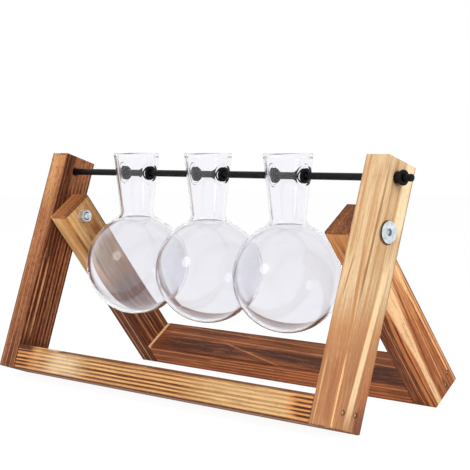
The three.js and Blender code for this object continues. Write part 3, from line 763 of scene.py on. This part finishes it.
def makeNails():
    nail = turned("nailShape", nailRows(), nailShape["sides"], "x")
    tree = nailTree()
    for frameName, side in frames.items():
        places = bpy.data.meshes.new(frameName + "NailPlaces")
        spots = [inPart(frameName, hand * side["outer"], y, side["foot"] + rise) * mm
                 for y, rise in nailPlaces[frameName] for hand in (-1, 1)]
        places.from_pydata(spots, [], [])
        piece = runTree(frameName + "Nails", tree, {"Nail": nail, "Steel": nailSteel}, places)
        nodes = [f"{hand}_{frameName}_nail_{i}" for hand in ("left", "right") for i in (1, 2)]
        finish(piece, side["body"], "nail_steel", *nodes)
    bpy.data.objects.remove(nail)


makeNails()
print("nails done")

# Pivot bolts, washers and nuts: made for the left side, along +X from under the head

bolt = {"radius": 2.5, "head": 6.7, "headHeight": 1.5, "rounding": 0.85, "socket": 4.0, "socketDepth": 1.5,
        "sunk": 3.3, "length": 42.05, "threadFrom": 31.0, "pitch": 0.8, "threadDepth": 0.45, "chamfer": 0.7,
        "rowsPerTurn": 8, "runInRows": 16, "sides": 72, "headX": 157.25}
washer = {"bore": 2.8, "radius": 4.4, "thickness": 1.0, "edge": 0.18, "from": 35.2}
nut = {"flats": 8.0, "height": 4.0, "bore": 2.65, "boreEdge": 0.4, "faceShare": 0.985,
       "slope": math.tan(math.radians(30)), "from": 36.25}


def hexagon(acrossFlats):
    # the radius of a hexagon at an angle
    return lambda angle: acrossFlats / 2 / math.cos((angle + math.pi / 6) % (math.pi / 3) - math.pi / 6)


def boltRows():
    head, socket, deep, sunk = bolt["head"], bolt["socket"], bolt["socketDepth"], bolt["sunk"]
    radius, rounding, face = bolt["radius"], bolt["rounding"], -bolt["headHeight"]
    rows = [(0, face + deep + 0.5), (hexagon(socket - 0.1), face + deep), (hexagon(socket), face + 0.6),
            (sunk, face + 0.1), (sunk + 0.3, face), (head * 0.7, face)]
    rows += arc((head - rounding, face + rounding), rounding, -78, 0, 6)
    rows += [(head, -0.15), (head - 0.15, 0.0), (radius + 0.1, 0.0), (radius, 0.1)]
    threadLength = bolt["length"] - bolt["threadFrom"]
    steps = int(threadLength / bolt["pitch"] * bolt["rowsPerTurn"])
    for i in range(steps + 1):
        along = bolt["threadFrom"] + threadLength * i / steps
        runIn = min(1.0, i / bolt["runInRows"])
        taper = max(0.0, along - bolt["length"] + bolt["chamfer"])

        def threaded(angle, along=along, runIn=runIn, taper=taper):
            tooth = abs(((along / bolt["pitch"] - angle / math.tau) % 1.0) * 2 - 1)
            return radius - 0.02 - bolt["threadDepth"] * runIn * tooth - taper * 0.8
        rows.append((threaded, along))
    return rows + [(0, bolt["length"])]


def washerRows():
    bore, radius, edge = washer["bore"], washer["radius"], washer["edge"]
    near, far = washer["from"], washer["from"] + washer["thickness"]
    return [(bore, near + edge), (bore + edge, near), (radius - edge, near), (radius, near + edge),
            (radius, far - edge), (radius - edge, far), (bore + edge, far), (bore, far - edge)]


def nutRows():
    bore, edge, outline = nut["bore"], nut["boreEdge"], hexagon(nut["flats"])
    near, far, face = nut["from"], nut["from"] + nut["height"], nut["flats"] / 2 * nut["faceShare"]

    def turnedOff(angle):
        return (outline(angle) - face) * nut["slope"]
    return [(bore, near + edge), (bore + edge, near), (face, near),
            (outline, lambda angle: near + turnedOff(angle)), (outline, lambda angle: far - turnedOff(angle)),
            (face, far), (bore + edge, far), (bore, far - edge)]


for sideName, turn in (("left", 0.0), ("right", math.pi)):
    where = (Matrix.Translation(pivot) @ Matrix.Rotation(frames["front"]["lean"], 4, "X")
             @ Matrix.Rotation(turn, 4, "Z") @ Matrix.Translation((-bolt["headX"], 0, 0)))
    for label, node, rows, closed in (("PivotBolt", "pivot_bolt", boltRows(), False),
                                      ("NutWasher", "nut_washer", washerRows(), True),
                                      ("PivotNut", "pivot_nut", nutRows(), True)):
        fastener = turned(sideName + label, rows, bolt["sides"], "x", closed, where)
        finish(paint(fastener, zincPlate), "front_frame", "zinc", f"{sideName}_{node}")
print("bolts, washers and nuts done")

# Hanging rod and the rubber stops on its ends

rod = {"radius": 2.25, "end": 168.7, "chamfer": 0.5, "sides": 48}
stop = {"bore": 2.4, "sleeve": 3.55, "sleeveLength": 3.6, "radius": 4.65, "length": 5.8, "rounding": 0.9,
        "edge": 0.2, "dish": 0.3, "inner": 157.25, "sides": 48}
onRod = Matrix.Translation(rodAxis)


def rodRows():
    radius, end, chamfer = rod["radius"], rod["end"], rod["chamfer"]
    half = [(0, end), (radius - chamfer, end), (radius, end - chamfer)]
    return [(r, -along) for r, along in half] + half[::-1]


hangingRod = paint(turned("hangingRod", rodRows(), rod["sides"], "x", placed=onRod), blackRod)
finish(hangingRod, "front_frame", "black_steel", "hanging_rod")


def stopRows():
    bore, sleeve, edge = stop["bore"], stop["sleeve"], stop["edge"]
    near, far, rounding, dish = stop["sleeveLength"], stop["length"], stop["rounding"], stop["dish"]
    r = stop["radius"] - rounding
    rows = [(bore, edge), (bore + edge, 0.0), (sleeve - edge, 0.0), (sleeve, edge), (sleeve, near - edge),
            (sleeve + edge, near)]
    rows += arc((r, near + rounding), rounding, -88, 0, 6) + arc((r, far - rounding), rounding, 0, 75, 6)
    return rows + [(r - 0.3, far), (bore + 0.6, far - dish * 0.5), (bore, far - dish)]


for sideName, turn in (("left", math.pi), ("right", 0.0)):
    where = onRod @ Matrix.Rotation(turn, 4, "Z") @ Matrix.Translation((stop["inner"], 0, 0))
    ring = turned(f"{sideName}RodStop", stopRows(), stop["sides"], "x", True, where)
    finish(paint(ring, blackRubber), "front_frame", "rubber", f"{sideName}_rod_stop")
print("rod and stops done")

# Glass vases, with the rod's axis at the origin of their profile

vase = {"bulbRadius": 35.0, "wall": 2.0, "bulbBelowRod": 63.4, "rimRadius": 14.7, "rimAbove": 12.5,
        "bead": 1.3, "taper": math.radians(6.4), "fillet": 5.0, "hole": 3.65, "drillEnd": 30,
        "drillSides": 48, "lipFrom": 5.3, "lipWidth": 2.7, "lipHeight": 0.8, "closeRows": 0.3,
        "openRows": 0.9, "closeWithin": 8.4, "bulbRows": 84, "filletRows": 10, "rimRows": 22,
        "poleAngle": -88, "sides": 192, "places": {"left": -71.7, "middle": 0.0, "right": 71.7}}
# edge and edgeFrom: the grey of the painted shade on the glass's outline, and where it starts and is full
glassLook = {"clear": (250, 250, 253), "edge": (150, 150, 158), "edgeFrom": (0.78, 0.99),
             "haze": (246, 245, 255), "hazeInside": 0.095, "hazeAll": 0.004, "innerFace": (0.6, 1.4),
             "hazeTop": (34.0, 30.0)}


def neckRadius(height, out):
    taper = vase["taper"]
    return vase["rimRadius"] + (height - vase["rimAbove"]) * math.tan(taper) + out / math.cos(taper)


def vaseRows():
    wall, fillet, taper, bulb = vase["wall"] / 2, vase["fillet"], vase["taper"], vase["bulbRadius"]
    pole, bulbRows, filletRows = vase["poleAngle"], vase["bulbRows"], vase["filletRows"]
    centre = Vector((0.0, -vase["bulbBelowRod"]))
    up = Vector((math.sin(taper), math.cos(taper)))
    out = Vector((math.cos(taper), -math.sin(taper)))
    start = Vector((vase["rimRadius"], vase["rimAbove"])) + out * (wall + fillet)
    reach = bulb + fillet
    along = (start - centre).dot(up)
    turn = start + up * (math.sqrt(along ** 2 - (start - centre).length_squared + reach ** 2) - along)
    meet = math.degrees(math.atan2(turn.y - centre.y, turn.x - centre.x))
    lean = math.degrees(taper)
    bead = math.degrees(math.acos(wall / vase["bead"]))

    def neck(side, low, high):
        # close rows where the holes and their lips are
        heights = [low]
        while heights[-1] < high:
            close = abs(heights[-1]) < vase["closeWithin"]
            heights.append(heights[-1] + vase["closeRows" if close else "openRows"])
        return [(neckRadius(z, side * wall), z) for z in heights if low < z < high]

    low = turn.y + fillet * math.sin(math.radians(180 - lean)) + 0.2  # just over the fillet
    high = vase["rimAbove"] - 1.2  # just under the bead
    outer = [(0, centre.y - bulb)] + arc(centre, bulb, pole, meet, bulbRows)
    outer += arc(turn, fillet, meet + 180, 180 - lean, filletRows)[1:] + neck(1, low, high)
    rimCentre = (vase["rimRadius"], vase["rimAbove"])
    rim = arc(rimCentre, vase["bead"], -bead - lean, 180 + bead - lean, vase["rimRows"])
    inner = neck(-1, low, high)[::-1] + arc(turn, fillet + vase["wall"], 180 - lean, meet + 180, filletRows)
    inner += arc(centre, bulb - vase["wall"], meet, pole, bulbRows)[1:]
    return outer + rim + inner + [(0, centre.y - bulb + vase["wall"])]


def makeVase(sideName, x, glass):
    piece = turned(f"{sideName}Vase", vaseRows(), vase["sides"], "z")
    for vertex in piece.data.vertices:  # the fused lip round each hole, outside
        place = vertex.co / mm
        ahead = (math.hypot(place.y, place.z) - vase["lipFrom"]) / vase["lipWidth"]
        outside = math.hypot(place.x, place.y) > neckRadius(place.z, 0.5)
        if 0 < ahead < 1 and outside:
            raised = vase["lipHeight"] * math.sin(math.pi * ahead) ** 2
            vertex.co += Vector((place.x, place.y, 0)).normalized() * raised * mm
    hole, end = vase["hole"], vase["drillEnd"]
    drill = turned("vaseDrill", [(0, -end), (hole, -end), (hole, end), (0, end)], vase["drillSides"], "x")
    cut = piece.modifiers.new("holes", "BOOLEAN")
    cut.object, cut.operation, cut.solver = drill, "DIFFERENCE", "EXACT"
    settle(piece, cut)
    bpy.data.objects.remove(drill)
    piece.data.transform(Matrix.Translation((rodAxis + Vector((x, 0, 0))) * mm))
    piece.data.set_sharp_from_angle(angle=sharpFrom["glass"])
    finish(paint(piece, glass), f"{sideName}_bulb", "glass", f"{sideName}_vase")


def clearGlass():
    material, shader, place = newMaterial("clearGlass", IOR=1.45, Transmission_Weight=1.0,
                                          Specular_IOR_Level=0.25)
    x, y, z = (part / mm for part in place.parts())
    apart, bulb = vase["places"]["right"], vase["bulbRadius"]
    x = x - (x / apart).math("ROUND") * apart  # from the nearest bulb's centre
    y, z = y - rodAxis.y, z - rodAxis.z + vase["bulbBelowRod"]
    deep, full = glassLook["innerFace"]
    inside = radiusOf(x, y, z).step(bulb - deep, bulb - full) * z.step(*glassLook["hazeTop"])
    ripple = place.noise(26.0, 1.0)
    # painted shade: the glass is greyer where it is seen edge-on, for the bulbs' thin dark outlines
    edge = place.add("ShaderNodeLayerWeight", {}, {"Blend": 0.5}, "Facing")
    tintAndPaintedOutline = edge.step(*glassLook["edgeFrom"]).mix(srgb(*glassLook["clear"]), srgb(*glassLook["edge"]))
    feed(shader, Base_Color=tintAndPaintedOutline, Roughness=ripple * 0.02, Normal=bump(ripple, 0.05, 0.001))
    haze = place.add("ShaderNodeBsdfPrincipled", {}, {
        "Base Color": srgb(*glassLook["haze"]), "Roughness": 0.5})
    overlay(place, shader, haze, inside * glassLook["hazeInside"] + glassLook["hazeAll"])
    return material


glass = clearGlass()
for sideName, x in vase["places"].items():
    makeVase(sideName, x, glass)
print("vases done")

# Rubber grommets: radius from the rod's axis, and height over the glass, outside (1) or inside (-1)

grommet = {"bore": 2.4, "sleeve": 3.35, "flange": 4.8, "gap": 0.3, "thick": 1.0, "sides": 64}


def grommetLoop():
    bore, sleeve, flange, gap = (grommet[key] for key in ("bore", "sleeve", "flange", "gap"))
    top = gap + grommet["thick"]
    half = [(bore, top - 0.25), (bore + 0.25, top), (flange - 0.75, top), (flange - 0.3, top - 0.15),
            (flange - 0.05, top - 0.42), (flange, gap + 0.4), (flange - 0.08, gap + 0.12),
            (flange - 0.3, gap), (sleeve + 0.1, gap), (sleeve, gap - 0.1)]
    return [(r, h, 1) for r, h in half] + [(r, h, -1) for r, h in reversed(half)]


def overGlass(radius, height, side):
    # distance from the neck's axis, so far over its outer or inner face
    def along(angle):
        y, z = radius * math.cos(angle), radius * math.sin(angle)
        return math.sqrt(neckRadius(z, side * vase["wall"] / 2) ** 2 - y * y) + side * height
    return along


for sideName, x in vase["places"].items():
    for hand, turn in (("left", math.pi), ("right", 0.0)):
        rows = [(r, overGlass(r, h, face)) for r, h, face in grommetLoop()]
        where = Matrix.Translation(rodAxis + Vector((x, 0, 0))) @ Matrix.Rotation(turn, 4, "Z")
        collar = turned(f"{sideName}Vase{hand.capitalize()}Grommet", rows, grommet["sides"], "x", True, where)
        finish(paint(collar, blackRubber), f"{sideName}_bulb", "rubber", f"{sideName}_vase_{hand}_grommet")
print("grommets done")

# Floor, light and camera

studio = {
    "floorSize": 6.0, "floor": (0.9, 0.9, 0.9, 1), "floorGlow": 0.86, "glow": 1.08, "around": 0.4,
    "aim": (0, 0, 0.08),
    "lamps": {  # place, size, watts, and whether gloss shows it
        "softbox": ((-0.09, -0.95, 0.42), 0.5, 2.7, False),
        "rightFill": ((1.0, -0.25, 0.75), 0.9, 10.2, False),
        "topFill": ((-0.1, 0.1, 1.3), 1.0, 4.0, False),
        "glint": ((-0.09, -0.95, 0.42), 0.16, 1.2, True),
        "glintEdge": ((-0.09, -0.96, 0.42), 0.36, 1.0, True),
    },
}
white = (1, 1, 1, 1)


def seen(start):
    # 1 for what the camera sees, straight or in glass and metal
    camera, glossy, through = (start.add("ShaderNodeLightPath", {}, {}, f"Is {kind} Ray")
                               for kind in ("Camera", "Glossy", "Transmission"))
    return camera.larger(glossy.larger(through))


def makeFloor():
    bpy.ops.mesh.primitive_plane_add(size=studio["floorSize"])
    floor = bpy.context.object
    floor.name = "floor"
    material, shader, start = newMaterial("paleFloor", Base_Color=studio["floor"], Roughness=0.9)
    glow = start.add("ShaderNodeEmission", {}, {"Color": white, "Strength": studio["glow"]})
    overlay(start, shader, glow, seen(start) * studio["floorGlow"])
    floor.data.materials.append(material)


def makeLight():
    world = bpy.data.worlds.new("studio")
    bpy.context.scene.world = world
    world.use_nodes = True
    background = world.node_tree.nodes["Background"]
    background.inputs["Color"].default_value = white
    feed(background, Strength=seen(Wire(world.node_tree)) * (1 - studio["around"]) + studio["around"])
    for name, (place, size, watts, mirrored) in studio["lamps"].items():
        light = bpy.data.lights.new(name, "AREA")
        light.shape, light.size, light.energy = "DISK", size, watts
        lamp = newObject(name, light)
        lamp.location = place
        lamp.visible_glossy = lamp.visible_transmission = mirrored
        aim = Vector(studio["aim"]) - Vector(place)
        lamp.rotation_euler = aim.to_track_quat("-Z", "Y").to_euler()


view = {"place": (0.64607, -0.63509, 0.16382), "yaw": 44.9794, "pitch": 3.7375, "roll": -0.16,
        "focal": 1359.59, "frame": 470, "sensor": 36.0, "nearest": 0.01}


def makeCamera():
    lens = bpy.data.cameras.new("view")
    lens.sensor_width = view["sensor"]
    lens.lens = view["focal"] * view["sensor"] / view["frame"]
    lens.clip_start = view["nearest"]
    camera = newObject("view", lens)
    turn = Euler((math.radians(90 - view["pitch"]), 0, math.radians(view["yaw"])))
    camera.matrix_world = (Matrix.Translation(view["place"]) @ turn.to_matrix().to_4x4()
                           @ Matrix.Rotation(math.radians(view["roll"]), 4, "Z"))
    bpy.context.scene.camera = camera


makeFloor()
makeLight()
makeCamera()
bpy.context.scene.view_settings.view_transform = "Standard"
print("studio done")
